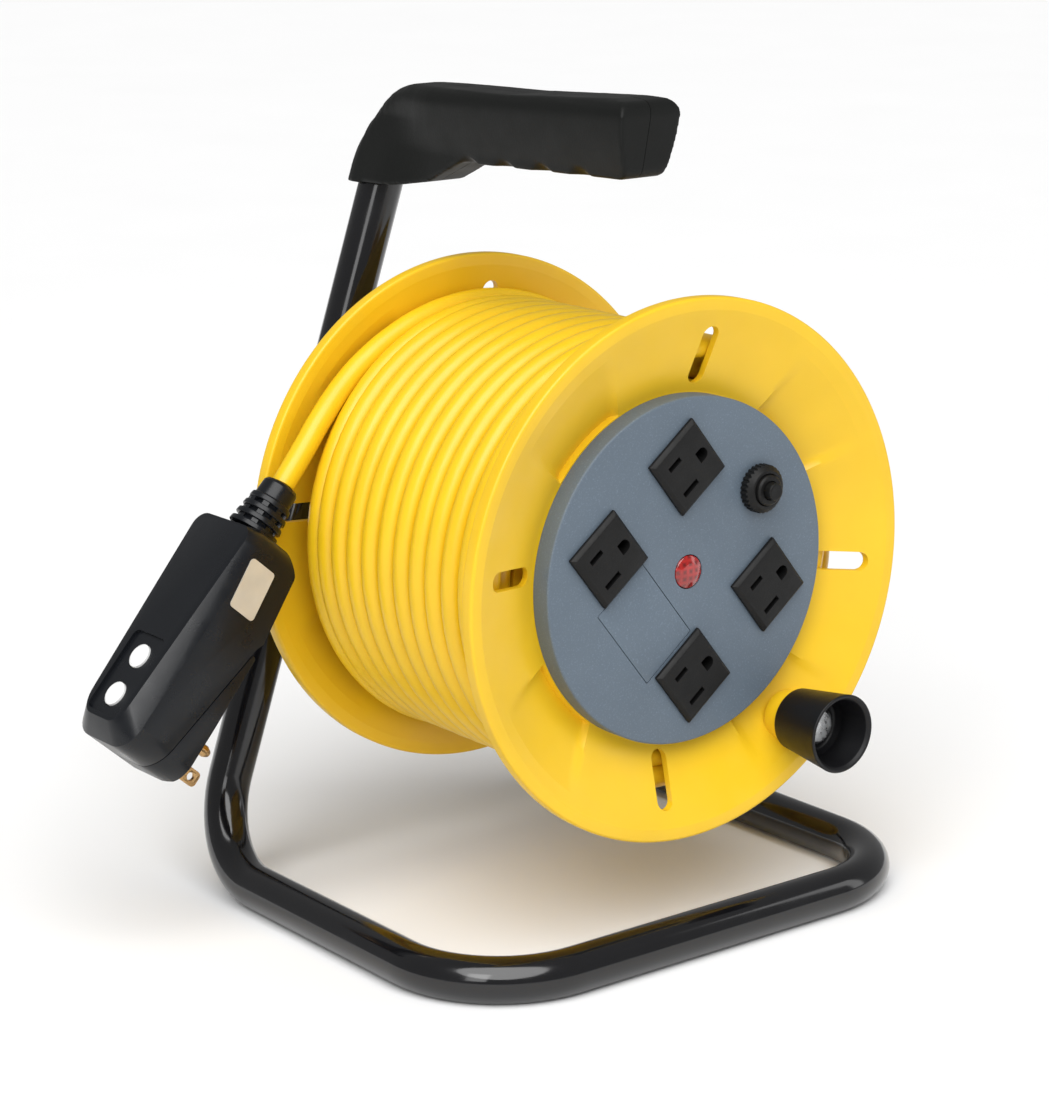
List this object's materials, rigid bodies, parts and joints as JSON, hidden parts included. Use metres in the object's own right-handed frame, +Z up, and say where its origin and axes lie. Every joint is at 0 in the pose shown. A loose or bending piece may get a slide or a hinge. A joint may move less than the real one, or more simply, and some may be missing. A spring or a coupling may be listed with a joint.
{
  "type": "extension cord reel",
  "caption": "Extension cord reel: a cord drum with an outlet panel, breaker, crank knob and wound cord, turning on a bent tube stand with a grip.",
  "frame": {"origin": "on the floor, below the centre of the object's box measured without the cord and plug", "axes": "+Z up, drum axis along Y with the outlets facing -Y, +X to the right seen from the outlets"},
  "size_m": [0.3058, 0.223, 0.3265],
  "materials": {
    "yellow_plastic": "moulded satin plastic",
    "yellow_cord": "satin flexible jacket",
    "plate_plastic": "fine textured plastic",
    "black_plastic": "matte textured plastic",
    "black_paint": "gloss powder coat",
    "white_plastic": "smooth",
    "red_lens": "clear red",
    "brass": "bare metal",
    "zinc_steel": "zinc plated",
    "silver_film": "metallic film",
    "circuit_board": "laminate",
    "copper": "wound wire"
  },
  "bodies": {
    "frame": {"frame_tube": "black_paint", "grip_left_shell": "black_plastic", "grip_right_shell": "black_plastic", "grip_screw_front": "zinc_steel", "grip_screw_middle": "zinc_steel", "grip_screw_rear": "zinc_steel", "axle_shaft": "zinc_steel", "axle_spacer": "zinc_steel", "axle_washer": "zinc_steel", "axle_nut": "zinc_steel", "retaining_washer": "zinc_steel", "retaining_nut": "zinc_steel", "plug_front_shell": "black_plastic", "plug_back_shell": "black_plastic", "plug_label": "silver_film", "plug_strain_relief": "black_plastic", "plug_board": "circuit_board", "sensing_coil": "copper", "blade_line": "brass", "blade_neutral": "brass", "ground_pin": "brass", "cord_lead": "yellow_cord"},
    "drum": {"front_flange": "yellow_plastic", "rear_flange": "yellow_plastic", "drum_core": "yellow_plastic", "front_bush": "white_plastic", "rear_bush": "white_plastic", "flange_screw_1": "zinc_steel", "flange_screw_2": "zinc_steel", "flange_screw_3": "zinc_steel", "flange_screw_4": "zinc_steel", "rear_screw_1": "zinc_steel", "rear_screw_2": "zinc_steel", "rear_screw_3": "zinc_steel", "rear_screw_4": "zinc_steel", "outlet_plate": "plate_plastic", "outlet_1": "black_plastic", "outlet_2": "black_plastic", "outlet_3": "black_plastic", "outlet_4": "black_plastic", "blank_cover": "plate_plastic", "lamp_lens": "red_lens", "lamp_holder": "black_plastic", "breaker_body": "black_plastic", "breaker_nut": "black_plastic", "terminal_block": "white_plastic", "cord_gland": "black_plastic", "cord_clamp": "black_plastic", "inner_lead": "yellow_cord", "cord_winding": "yellow_cord", "crank_pin": "zinc_steel"},
    "crank": {"crank_knob": "black_plastic"},
    "breaker_reset_button": {"breaker_button": "black_plastic"},
    "plug_test": {"test_button": "white_plastic"},
    "plug_reset": {"reset_button": "white_plastic"}
  },
  "joints": [
    {"name": "drum_spin", "type": "hinge", "parent": "frame", "child": "drum", "pos_m": [0, 0, 0.149], "axis": [0, 1, 0], "continuous": true},
    {"name": "crank_spin", "type": "hinge", "parent": "drum", "child": "crank", "pos_m": [0.05295, -0.095, 0.08123], "axis": [0, 1, 0], "continuous": true},
    {"name": "breaker_reset", "type": "slide", "parent": "drum", "child": "breaker_reset_button", "axis": [0, -1, 0], "range_m": [0, 0.004]},
    {"name": "test_press", "type": "slide", "parent": "frame", "child": "plug_test", "axis": [0.7554, 0, -0.6553], "range_m": [0, 0.0015], "stiffness_N_per_m": 300, "springref_m": -0.002},
    {"name": "reset_press", "type": "slide", "parent": "frame", "child": "plug_reset", "axis": [0.7554, 0, -0.6553], "range_m": [0, 0.0015], "stiffness_N_per_m": 300, "springref_m": -0.002}
  ]
}
